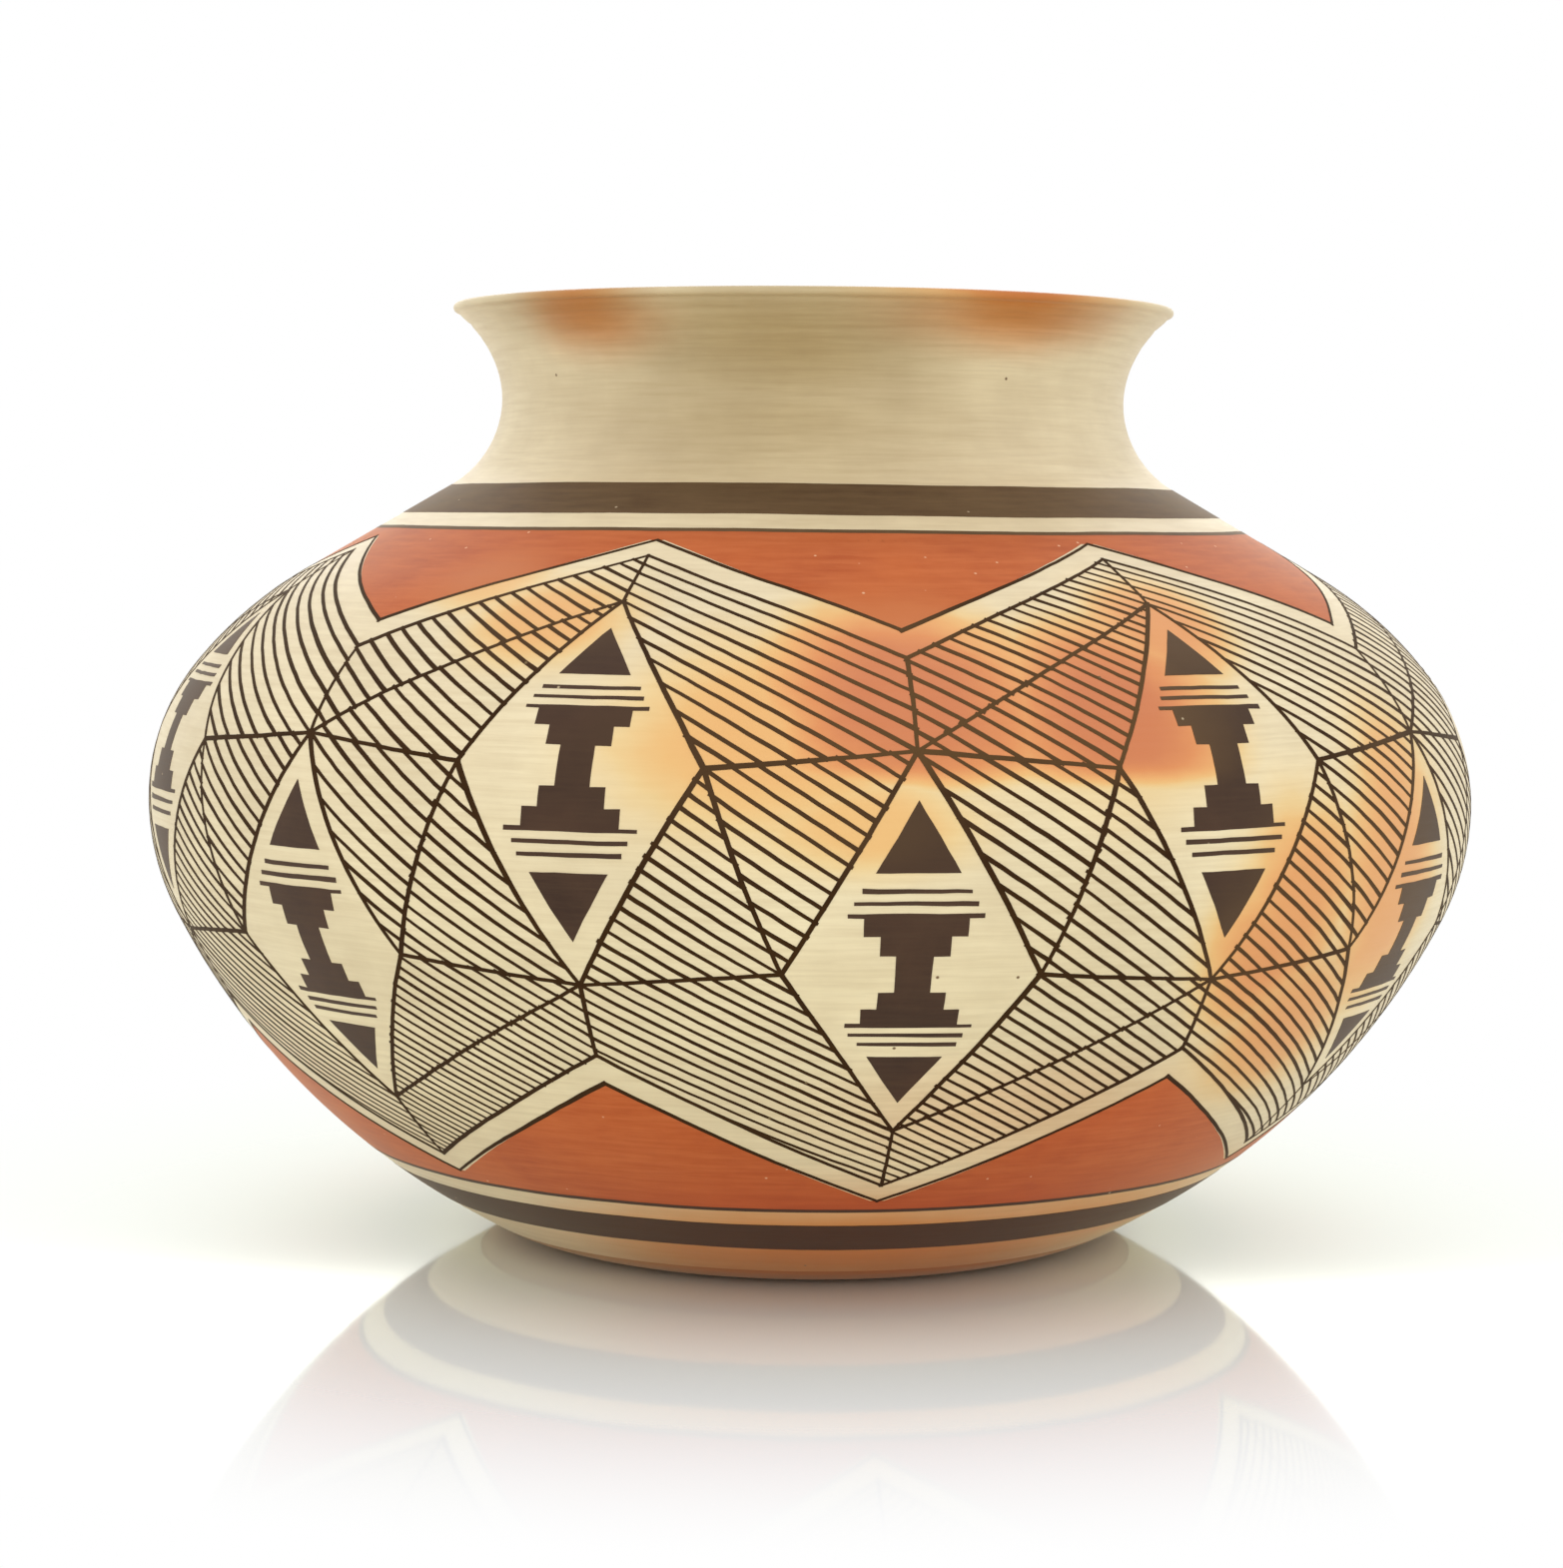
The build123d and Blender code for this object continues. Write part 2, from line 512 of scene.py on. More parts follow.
        gate = add(tree, "ShaderNodeMapRange", links, interpolation_type="SMOOTHSTEP").outputs[0]
        return add(tree, "ShaderNodeMath", {0: seen, 1: gate}, operation="MULTIPLY").outputs[0]


class Spots(Enum):
    """What the fine spots of a finish are, with their spacing, radius and share of cells.

    Many real ones are finer than a pixel. These are drawn near 0.8 mm across, so that they show.
    """

    IRON = (8.0, 0.42, 0.12)
    PINHOLES = (4.5, 0.38, 0.3)


@dataclass(frozen=True)
class Coat:
    """A coat of clay, slip or paint, with what real coats share: streaks, mottling, spots and fire marks,
    some of which are painted shade.

    The hair-fine streaks of the stone and the brush are drawn 0.9 mm wide, so that they show. MOTTLE_SPREAD,
    STREAK_SPREAD and BLUSH_SPREAD hold the values of a noise or a mask where it starts to show and where it
    shows in full. GLOSS_SPREAD is how much the streaks change the roughness, and STREAK_RELIEF how much they
    stand out beside the mottling. The two ends of a blush come first among its colours.
    """

    MOTTLE_SPREAD = (0.32, 0.68)
    STREAK_SPREAD = (0.38, 0.7)
    BLUSH_SPREAD = (0.02, 0.42)
    BLUSH_COVER = 0.92
    # The smoke tint also darkens the patches of painted shade.
    STAINS = ((Mark.TOAST, "#ea9a3c"), (Mark.SMOKE, "#c4b8a0"))
    GLOSS_SPREAD = 0.07
    STREAK_RELIEF = 0.7
    RELIEF_STRENGTH = 0.6
    # Low-fired clay and slip have an IOR near that of quartz and feldspar.
    IOR = 1.5
    SHEEN_ROUGHNESS = 0.4
    SHEEN_TINT = "#f2e4cc"

    name: str
    dark: str
    light: str
    streak: str
    spot: str
    roughness: float
    clouds_and_shade: CloudsAndShade
    blush: tuple[tuple[float, str], ...]
    streak_width: float = 0.9
    streak_length: float = 14.0
    streak_amount: float = 0.5
    mottle: float = 42.0
    spots: Spots = Spots.IRON
    bump: float = 0.05
    specular: float = 0.5
    sheen: float = 0.2

    def material(self) -> bpy.types.Material:
        """Build the coat's material.

        Returns:
            The material.
        """
        material, tree = new_material(self.name)
        where = add(tree, "ShaderNodeTexCoord").outputs["Object"]
        squeeze = self.streak_width / self.streak_length
        level = add(tree, "ShaderNodeMapping", {"Vector": where, "Scale": (squeeze, squeeze, 1.0)}).outputs[0]
        links = {"Vector": level, "Scale": 1 / (self.streak_width * MM), "Detail": 4.0, "Roughness": 0.6}
        streaks = add(tree, "ShaderNodeTexNoise", links).outputs[0]
        links = {"Vector": where, "Scale": 1 / (self.mottle * MM), "Detail": 5.0, "Roughness": 0.62}
        mottle = add(tree, "ShaderNodeTexNoise", links).outputs[0]
        colour = self._spotted(tree, where, self._fired_and_shaded(tree, where, self._laid(tree, mottle, streaks)))
        low, high = self.roughness - self.GLOSS_SPREAD, self.roughness + self.GLOSS_SPREAD
        rough = add(tree, "ShaderNodeMapRange", {"Value": streaks, "To Min": low, "To Max": high}).outputs[0]
        links = {0: streaks, 1: self.STREAK_RELIEF, 2: mottle}
        grain = add(tree, "ShaderNodeMath", links, operation="MULTIPLY_ADD").outputs[0]
        links = {"Height": grain, "Distance": self.bump * MM, "Strength": self.RELIEF_STRENGTH}
        relief = add(tree, "ShaderNodeBump", links).outputs[0]
        links = {"Base Color": colour, "Roughness": rough, "Normal": relief, "IOR": self.IOR}
        # The dry surface scatters light at its edges, so that its colours pale there.
        links |= {"Sheen Weight": self.sheen, "Sheen Roughness": self.SHEEN_ROUGHNESS}
        links |= {"Sheen Tint": linear(self.SHEEN_TINT), "Specular IOR Level": self.specular}
        surface = add(tree, "ShaderNodeBsdfPrincipled", links).outputs[0]
        add(tree, "ShaderNodeOutputMaterial", {"Surface": surface})
        return material

    def _laid(self, tree: Tree, mottle: Socket, streaks: Socket) -> Socket:
        """Colour the coat as it was laid, before the firing.

        Args:
            tree: The material's node tree.
            mottle: The noise of the coat's mottling.
            streaks: The noise of its streaks.

        Returns:
            The colour.
        """
        low, high = self.MOTTLE_SPREAD
        links = {"Value": mottle, "From Min": low, "From Max": high}
        spread = add(tree, "ShaderNodeMapRange", links).outputs[0]
        links = {0: spread, 6: linear(self.dark), 7: linear(self.light)}
        colour = add(tree, "ShaderNodeMix", links, data_type="RGBA").outputs[2]
        low, high = self.STREAK_SPREAD
        links = {"Value": streaks, "From Min": low, "From Max": high, "To Max": self.streak_amount}
        amount = add(tree, "ShaderNodeMapRange", links).outputs[0]
        links = {0: amount, 6: colour, 7: linear(self.streak)}
        return add(tree, "ShaderNodeMix", links, data_type="RGBA").outputs[2]

    def _fired_and_shaded(self, tree: Tree, where: Socket, colour: Socket) -> Socket:
        """Lay the marks of the fire, and the painted shade, over the coat's colour.

        Args:
            tree: The material's node tree.
            where: Object coordinates.
            colour: The colour before the firing.

        Returns:
            The colour with the blushes over it, then toasted, then smoked and darkened with painted shade.
        """
        mask = self.clouds_and_shade.mask(tree, where, Mark.BLUSH)
        warm = add(tree, "ShaderNodeValToRGB", {0: mask})
        stops = warm.color_ramp.elements
        for index, (stop, code) in enumerate(self.blush):
            element = stops[index] if index < 2 else stops.new(stop)
            element.position, element.color = stop, linear(code)
        low, high = self.BLUSH_SPREAD
        links = {"Value": mask, "From Min": low, "From Max": high, "To Max": self.BLUSH_COVER}
        cover = add(tree, "ShaderNodeMapRange", links).outputs[0]
        links = {0: cover, 6: colour, 7: warm.outputs[0]}
        colour = add(tree, "ShaderNodeMix", links, data_type="RGBA").outputs[2]
        for mark, tint in self.STAINS:
            links = {0: self.clouds_and_shade.mask(tree, where, mark), 6: colour, 7: linear(tint)}
            colour = add(tree, "ShaderNodeMix", links, data_type="RGBA", blend_type="MULTIPLY").outputs[2]
        return colour

    def _spotted(self, tree: Tree, where: Socket, colour: Socket) -> Socket:
        """Scatter the coat's fine spots.

        Args:
            tree: The material's node tree.
            where: Object coordinates.
            colour: The colour under the spots.

        Returns:
            The colour with the spots in it.
        """
        spacing, radius, share = self.spots.value
        links = {"Vector": where, "Scale": 1 / (spacing * MM), "Randomness": 1.0}
        cells = add(tree, "ShaderNodeTexVoronoi", links)
        size = radius / spacing
        links = {"Value": cells.outputs["Distance"], "From Min": size, "From Max": size * 0.5}
        near = add(tree, "ShaderNodeMapRange", links).outputs[0]
        chosen = add(tree, "ShaderNodeSeparateColor", {0: cells.outputs["Color"]}).outputs[0]
        chosen = add(tree, "ShaderNodeMath", {0: chosen, 1: share}, operation="LESS_THAN").outputs[0]
        spot = add(tree, "ShaderNodeMath", {0: near, 1: chosen}, operation="MULTIPLY").outputs[0]
        links = {0: spot, 6: colour, 7: linear(self.spot)}
        return add(tree, "ShaderNodeMix", links, data_type="RGBA").outputs[2]


class Palette:
    """The jar's finishes."""

    def __init__(self, clouds_and_shade: CloudsAndShade) -> None:
        """Build every material.

        Args:
            clouds_and_shade: The marks of the fire, and patches of painted shade.
        """
        # Scraped earthenware, wiped but not polished: dry, buff to orange, with temper showing.
        blush = ((0.0, "#dcb888"), (1.0, "#d08650"))
        colours = ("#a97a50", "#c39a6e", "#b98a60", "#6b4a32")
        clay = Coat("scraped_clay", *colours, 0.8, clouds_and_shade, blush, mottle=30.0, bump=0.12)
        self.clay = clay.material()
        # Cream slip rubbed with a smooth stone: a soft sheen and fine level streaks, blushed by the fire.
        blush = ((0.0, "#e6d0a2"), (1.0, "#c96f40"), (0.3, "#e6c07c"), (0.55, "#e4a462"), (0.8, "#d8844a"))
        colours = ("#dac9a7", "#eedeba", "#c9b48f", "#6e5236")
        laid = {"streak_length": 20.0, "streak_amount": 0.42}
        cream = Coat("polished_cream_slip", *colours, 0.42, clouds_and_shade, blush, specular=0.25, sheen=0.26, **laid)
        self.cream = cream.material()
        # Plant and iron paint: matt, brown-black, olive where the fire was hottest, with pinholes.
        blush = ((0.0, "#3d291c"), (1.0, "#5f462b"))
        colours = ("#3a261b", "#4a3223", "#4e3929", "#b9a688")
        laid = {"mottle": 16.0, "spots": Spots.PINHOLES}
        black = Coat("brown_black_paint", *colours, 0.6, clouds_and_shade, blush, specular=0.2, **laid)
        self.black = black.material()
        # The same paint in fine lines, laid thick from a yucca brush and dead matt.
        colours = ("#311d0c", "#3a250f", "#422b14", "#7a6648")
        line = Coat("fine_line_paint", *colours, 0.75, clouds_and_shade, blush, mottle=16.0, specular=0.05, sheen=0.14)
        self.line = line.material()
        # The same paint brushed thin round the jar: more of the slip comes through, in level streaks.
        blush = ((0.0, "#573f24"), (1.0, "#644b2d"))
        colours = ("#513922", "#614a2f", "#6c5338", "#b9a688")
        laid = {"streak_amount": 0.7, "mottle": 20.0, "spots": Spots.PINHOLES}
        band = Coat("thin_brown_black_paint", *colours, 0.6, clouds_and_shade, blush, specular=0.1, **laid)
        self.band = band.material()
        # Yellow ochre slip that fires brick red: matt and brushy.
        blush = ((0.0, "#bf6430"), (1.0, "#c87a4c"))
        colours = ("#ad4d20", "#c05f2a", "#ca6e3c", "#dcae8a")
        laid = {"streak_amount": 0.6, "mottle": 24.0, "spots": Spots.PINHOLES}
        red = Coat("brick_red_slip", *colours, 0.6, clouds_and_shade, blush, specular=0.15, sheen=0.3, **laid)
        self.red = red.material()


# The jar's body


@dataclass(frozen=True)
class JarBody:
    """The fired clay and the slip on it, each one closed shell spun from its section.

    COIL_RIDGES and SCRAPING have the height and the spacing of the low ridges that the coils and the gourd
    scraper leave inside. The flat floor inside starts FLOOR_EDGE in from the wall. Points closer than MERGED
    become one, and STILL marks a point of the section that the unevenness doesn't move.
    """

    COIL_RIDGES = (0.26, 15)
    SCRAPING = (0.14, 5.5)
    FLOOR_EDGE = 0.6
    MERGED = 0.01
    STILL = (-1.0, 0.0)

    wall: Wall
    palette: Palette
    segments: int = 256
    step: float = 1.8
    hidden_step: float = 3.0
    rim_height: float = 12.0
    rim_step: float = 0.4
    lip_steps: int = 10
    inner_steps: int = 16

    def _outside(self, first: float, depth: float, step: float) -> list[tuple[float, float, float, float]]:
        """Walk the outside from a length up the wall to the lip.

        Args:
            first: The length to start from.
            depth: How deep under the surface to walk.
            step: How far apart the points are, below the rim.

        Returns:
            Each point's distance from the axis, height, length up the wall and heading.
        """
        rim = self.wall.length - self.rim_height
        coarse = np.linspace(first, rim, round((rim - first) / step), endpoint=False)
        fine = np.linspace(rim, self.wall.length, round(self.rim_height / self.rim_step) + 1)
        points = []
        for along in (float(at) for at in (*coarse, *fine)):
            heading = float(np.interp(along, self.wall.along, self.wall.heading))
            across = float(np.interp(along, self.wall.along, self.wall.across)) - depth * math.sin(heading)
            up = float(np.interp(along, self.wall.along, self.wall.up)) + depth * math.cos(heading)
            points.append((across, up, along, heading))
        return points

    def _lip(self, depth: float, radius: float) -> list[Flat]:
        """Round the lip over from the outside to the inside.

        Args:
            depth: How deep under the outside to start.
            radius: The lip's radius there.

        Returns:
            The points after the first, each with its distance from the axis and its height.
        """
        across, up, heading = self.wall.runs["rim"].at(self.wall.runs["rim"].length)
        start = Stretch(across - depth * math.sin(heading), up + depth * math.cos(heading), heading, 1.0, 0.0)
        arc = start.bend(radius, 180)
        return [arc.at(arc.length * i / self.lip_steps)[:2] for i in range(1, self.lip_steps + 1)]

    def _inner_rim(self, top: Flat, depth: float) -> list[Flat]:
        """Bring the inside down from the lip to the waist of the neck, in one arc that ends upright.

        Args:
            top: Where the lip ends.
            depth: How deep under the outside the arc ends.

        Returns:
            The points after the first, each with its distance from the axis and its height.
        """
        waist = self.wall.runs["rim"]
        foot = (waist.across - depth, waist.up)
        run, height = top[0] - foot[0], top[1] - foot[1]
        radius = (run * run + height * height) / (2 * run)
        whole = math.asin(height / radius)
        angles = [whole * (1 - i / self.inner_steps) for i in range(1, self.inner_steps + 1)]
        return [(foot[0] + radius * (1 - math.cos(a)), foot[1] + radius * math.sin(a)) for a in angles]

    def _scraping(self, turn: np.ndarray, along: np.ndarray) -> np.ndarray:
        """Find the low ridges inside.

        Args:
            turn: Angles round the axis in radians.
            along: Lengths up the wall.

        Returns:
            How deep each point lies under the smooth inside.
        """
        height, spacing = self.COIL_RIDGES
        ridges = height * np.sin(along * math.tau / spacing + 0.7 * np.sin(2 * turn + 0.8))
        height, spacing = self.SCRAPING
        patches = 0.5 + 0.5 * np.sin(3 * turn + along / 19)
        return ridges + height * np.sin(along * math.tau / spacing + 5 * turn) * patches

    def _spin(self, points: list[tuple[float, float, float, float]], closed: bool) -> bmesh.types.BMesh:
        """Spin a section round the axis and give it the hand-built wall's unevenness.

        Args:
            points: Distance from the axis, height, length up the wall and heading. Points with a length
                below 0 don't move.
            closed: Whether the section's last point joins its first.

        Returns:
            The closed mesh.
        """
        bm = bmesh.new()
        marks = bm.verts.layers.float.new("along")
        tilts = bm.verts.layers.float.new("heading")
        insides = bm.verts.layers.float.new("inside")
        half_wall = self.wall.shape.wall_thickness / 2
        line = []
        for across, up, along, heading in points:
            vert = bm.verts.new((0.0, -across * MM, up * MM))
            vert[marks], vert[tilts] = along, heading
            vert[insides] = float(along >= 0 and across < self.wall.radius_at(up) - half_wall)
            line.append(vert)
        pairs = list(zip(line, line[1:])) + ([(line[-1], line[0])] if closed else [])
        section = line + [bm.edges.new(pair) for pair in pairs]
        turned = {"axis": (0, 0, 1), "cent": (0, 0, 0), "angle": math.tau, "steps": self.segments}
        bmesh.ops.spin(bm, geom=section, use_merge=True, **turned)
        bmesh.ops.remove_doubles(bm, verts=bm.verts, dist=self.MERGED * MM)
        moving = [v for v in bm.verts if v[marks] >= 0]
        turn = np.array([math.atan2(v.co.x, -v.co.y) for v in moving])
        along = np.array([v[marks] for v in moving])
        scraped = self._scraping(turn, along) * np.array([v[insides] for v in moving])
        inset = (self.wall.inset(turn, along) + scraped) * MM
        for vert, angle, depth in zip(moving, turn, inset):
            out = math.sin(vert[tilts])
            way = Vector((out * math.sin(angle), -out * math.cos(angle), -math.cos(vert[tilts])))
            vert.co -= way * float(depth)
        return bm

    def build(self) -> None:
        """Build the clay and the slip."""
        shape = self.wall.shape
        skin, base = shape.slip_thickness, shape.base_thickness
        inner = skin + shape.wall_thickness
        slip_foot, waist = self.wall.starts["lower_wall"], self.wall.starts["rim"]

        foot = [(0.0, 0.0, *self.STILL)] + self._outside(0.0, 0.0, self.step)
        foot = [p for p in foot if p[2] < slip_foot - self.step / 2]
        body = self._outside(slip_foot, skin, self.hidden_step)
        lip = [(*p, *self.STILL) for p in self._lip(skin, shape.lip_radius - skin)]
        inside = [(*p, *self.STILL) for p in self._inner_rim(lip[-1][:2], inner - skin)]
        down = self._outside(0.0, inner, self.hidden_step)
        down = [p for p in down if p[2] < waist - self.step and p[1] > base]
        floor = [(down[0][0] - self.FLOOR_EDGE, base, *self.STILL), (0.0, base, *self.STILL)]
        clay = self._spin(foot + body + lip + inside + down[::-1] + floor, closed=False)
        nodes = tuple(node.value for node in Node if node is not Node.SLIP)
        finish_piece(clay, "jar_clay", self.palette.clay, nodes)

        # The slip runs up the outside, over the lip and down to the waist inside the neck.
        up = self._outside(slip_foot, 0.0, self.step)
        over = [(*p, *self.STILL) for p in self._lip(0.0, shape.lip_radius)]
        into = [(*p, *self.STILL) for p in self._inner_rim(over[-1][:2], inner)]
        slip = self._spin(up + over + into + inside[::-1] + lip[::-1] + body[::-1], closed=True)
        finish_piece(slip, "jar_slip", self.palette.cream, (Node.SLIP.value,))


# Paint


class Lift(Enum):
    """How far a film of paint stands over the slip, so that what is painted later lies over the rest.

    BLACK is for the dark bands and the hatching.
    """

    RED = 0.05
    BLACK = 0.07
    TERRACES = 0.075
    PANELS = 0.085
    OUTLINES = 0.1


@dataclass(frozen=True)
class Brush:
    """How a film of paint lies: how thick it is, and how much the hand wavers."""

    lift: Lift
    sunk: float = 0.15
    sway: float = 0.45
    sway_length: float = 34.0
    tremble: float = 0.13
    tremble_length: float = 4.5
    reach: float = 3.0


class Stencil:
    """Flat shapes of paint, drawn in millimetres at the belly line, that are then laid on the wall.

    In the drawing, points closer than TOUCHING are one, and a cut takes in points within ON_CUT of it. On the
    wall, points closer than MERGED become one, which joins the two ends of a ring.
    """

    TOUCHING = 1e-4
    ON_CUT = 1e-5
    MERGED = 0.002

    def __init__(self, wall: Wall, brush: Brush) -> None:
        """Start an empty drawing.

        Args:
            wall: The wall that it is drawn for.
            brush: How the paint lies.
        """
        self.wall = wall
        self.brush = brush
        self.bm = bmesh.new()

    def stroke(self, start: Flat, end: Flat, wide: float, narrow: float) -> None:
        """Draw one straight stroke.

        Args:
            start: Where the brush lands.
            end: Where it lifts.
            wide: The stroke's width at its start.
            narrow: The width at its end.
        """
        first, last = Vector(start), Vector(end)
        length = (last - first).length
        side = Vector((first.y - last.y, last.x - first.x)) / length / 2
        corners = [first + side * wide, first - side * wide, last - side * narrow, last + side * narrow]
        verts = [self.bm.verts.new((*c, 0.0)) for c in corners]
        face = self.bm.faces.new(verts)
        cuts = int(length / self.brush.reach)
        if cuts:
            bmesh.ops.subdivide_edges(self.bm, edges=[face.edges[1], face.edges[3]], cuts=cuts)

    def patch(self, *outlines: list[Flat]) -> None:
        """Fill a flat shape, cut small enough to follow the wall.

        Args:
            *outlines: The corners of each part in order. Parts that touch share whole edges.
        """
        faces = [self.bm.faces.new([self.bm.verts.new((*c, 0.0)) for c in corners]) for corners in outlines]
        # These are dicts, since a set's order would change from run to run, and with it what is merged.
        edges = dict.fromkeys(edge for face in faces for edge in face.edges)
        verts = dict.fromkeys(vert for face in faces for vert in face.verts)
        for axis, normal in ((0, (1, 0, 0)), (1, (0, 1, 0))):
            spots = sorted({round(vert.co[axis], 4) for vert in verts})
            cuts = []
            for low, high in zip(spots, spots[1:]):
                count = int((high - low) / self.brush.reach)
                cuts += [low + (high - low) * i / (count + 1) for i in range(count + 1)]
            geometry = [*verts, *edges, *faces]
            for cut in cuts[1:]:
                at = [0.0, 0.0, 0.0]
                at[axis] = cut
                plane = {"plane_co": at, "plane_no": normal, "dist": self.ON_CUT}
                geometry = bmesh.ops.bisect_plane(self.bm, geom=geometry, **plane)["geom"]
            verts = dict.fromkeys(item for item in geometry if isinstance(item, bmesh.types.BMVert))
            edges = dict.fromkeys(item for item in geometry if isinstance(item, bmesh.types.BMEdge))
            faces = [item for item in geometry if isinstance(item, bmesh.types.BMFace)]
        bmesh.ops.remove_doubles(self.bm, verts=list(verts), dist=self.TOUCHING)

    def ring(self, low: float, high: float, rows: int) -> None:
        """Draw a band right round the jar.

        Args:
            low: The height of its lower edge in the drawing.
            high: The height of its upper edge.
            rows: How many faces it is high.
        """
        half = math.pi * self.wall.belly
        columns = round(2 * half / self.brush.reach)
        middle, size = Vector((0, (low + high) / 2, 0)), Vector((half, (high - low) / 2, 1))
        place = Matrix.LocRotScale(middle, None, size)
        bmesh.ops.create_grid(self.bm, x_segments=columns, y_segments=rows, size=1.0, matrix=place)

    def _waver(self, points: np.ndarray) -> np.ndarray:
        """Move the drawn points as an unsteady hand does, the same each time and alike where a ring meets.

        Args:
            points: The points of the drawing.

        Returns:
            Where they go.
        """
        moved = points.copy()
        for i, (x, y, _) in enumerate(points):
            turn = x / self.wall.belly
            spot = Vector((math.sin(turn) * self.wall.belly, -math.cos(turn) * self.wall.belly, y))
            slow = noise.noise_vector(spot / self.brush.sway_length) * self.brush.sway
            fast = noise.noise_vector(spot / self.brush.tremble_length) * self.brush.tremble
            moved[i, 0] += slow.x + fast.x
            moved[i, 1] += slow.y + fast.y
        return moved

    def lay(self, name: str, material: bpy.types.Material, nodes: tuple[str, ...] = ()) -> None:
        """Thicken the drawing and lay it on the wall.

        Args:
            name: The piece's name.
            material: Its material.
            nodes: The CAD nodes that it stands for.
        """
        raised = bmesh.ops.extrude_face_region(self.bm, geom=self.bm.faces[:])["geom"]
        for vert in raised:
            if isinstance(vert, bmesh.types.BMVert):
                vert.co.z = 1.0
        # The walls at the two ends of a ring meet each other, so they go.
        half = math.pi * self.wall.belly
        ends = [f for f in self.bm.faces if all(abs(abs(v.co.x) - half) < self.TOUCHING for v in f.verts)]
        bmesh.ops.delete(self.bm, geom=ends, context="FACES")
        flat = self._waver(np.array([v.co[:] for v in self.bm.verts]))
        along = np.interp(flat[:, 1], self.wall.rise, self.wall.along)
        lift = np.where(flat[:, 2] > 0.5, self.brush.lift.value, -self.brush.sunk)
        for vert, place in zip(self.bm.verts, self.wall.place(flat[:, 0] / self.wall.belly, along, lift)):
            vert.co = place
        bmesh.ops.remove_doubles(self.bm, verts=self.bm.verts, dist=self.MERGED * MM)
        finish_piece(self.bm, name, material, nodes)


@dataclass(frozen=True)
class Band:
    """A painted band right round the jar, in lengths up the wall. A dark one can be brushed on thin, in the
    paler coat; one that isn't takes the darker paint of the fills, which at the foot is partly painted shade.
    """

    node: str
    low: float
    width: float
    slot: Slot
    rows: int = 4
    thin: bool = True

    def build(self, wall: Wall, palette: Palette) -> None:
        """Lay the band on the wall.

        Args:
            wall: The jar's wall.
            palette: Its finishes.
        """
        stencil = Stencil(wall, Brush(Lift.BLACK if self.slot is Slot.BLACK else Lift.RED))
        stencil.ring(wall.rise_at(self.low), wall.rise_at(self.low + self.width), self.rows)
        black = palette.band if self.thin else palette.black
        paint = black if self.slot is Slot.BLACK else palette.red
        stencil.lay(f"{self.node}_paint", paint, (self.node,))


@dataclass(frozen=True)
class Borders:
    """The bands and border lines under the neck and above the foot, with the CAD source's sizes."""

    wall: Wall
    palette: Palette
    band_width: float = 12.4
    line_width: float = 1.3
    red_width: float = 3.5
    shoulder_gap: float = 5.8
    foot_gap: float = 6.0
    foot_rise: float = 14.2

    def build(self) -> Flat:
        """Lay the bands.

        Returns:
            The heights in the flat drawing of the painted field's top and bottom, where the red bands end.
        """
        wide, line, red = self.band_width, self.line_width, self.red_width
        shoulder_top = self.wall.starts["neck"]
        shoulder_line = shoulder_top - wide - self.shoulder_gap - line
        foot_band = self.wall.starts["lower_wall"] + self.foot_rise
        foot_line = foot_band + wide + self.foot_gap
        upper = Band("shoulder_red_band", shoulder_line - red, red, Slot.RED, 2)
        lower = Band("foot_red_band", foot_line + line, red, Slot.RED, 2)
        bands = (
            Band("shoulder_band", shoulder_top - wide, wide, Slot.BLACK),
            Band("shoulder_line", shoulder_line, line, Slot.BLACK, 1),
            upper,
            # The foot band and foot line take the darker paint: partly the paint's own colour, partly painted
            # shade low on the jar.
            Band("foot_band", foot_band, wide, Slot.BLACK, thin=False),
            Band("foot_line", foot_line, line, Slot.BLACK, 1, thin=False),
            lower,
        )
        for band in bands:
            band.build(self.wall, self.palette)
        return self.wall.rise_at(upper.low), self.wall.rise_at(lower.low + lower.width)


@dataclass(frozen=True)
class Convex:
    """A convex outline in the flat drawing, with its corners to the left."""

    # A line runs along an edge where it nears it by less than this.
    PARALLEL = 1e-9

    corners: tuple[Flat, ...]

    def span(self, start: Flat, way: Flat) -> tuple[float, float] | None:
        """Find where a line runs inside the outline.

        Args:
            start: A point of the line.
            way: The line's direction, of length 1.

        Returns:
            The lengths along the line where it goes in and out, or None where it misses.
        """
        first, last = -math.inf, math.inf
        for (ax, ay), (bx, by) in zip(self.corners, self.corners[1:] + self.corners[:1]):
            inward = (ay - by, bx - ax)
            depth = (start[0] - ax) * inward[0] + (start[1] - ay) * inward[1]
            rate = way[0] * inward[0] + way[1] * inward[1]
            if abs(rate) < self.PARALLEL:
                if depth < 0:
                    return None
                continue
            hit = -depth / rate
            first, last = (max(first, hit), last) if rate > 0 else (first, min(last, hit))
        return (first, last) if first < last else None

    @classmethod
    def around(cls, corners: list[Flat]) -> "Convex":
        """The outline through corners in either order."""
        doubled = sum(ax * by - bx * ay for (ax, ay), (bx, by) in zip(corners, corners[1:] + corners[:1]))
        return cls(tuple(corners if doubled > 0 else corners[::-1]))


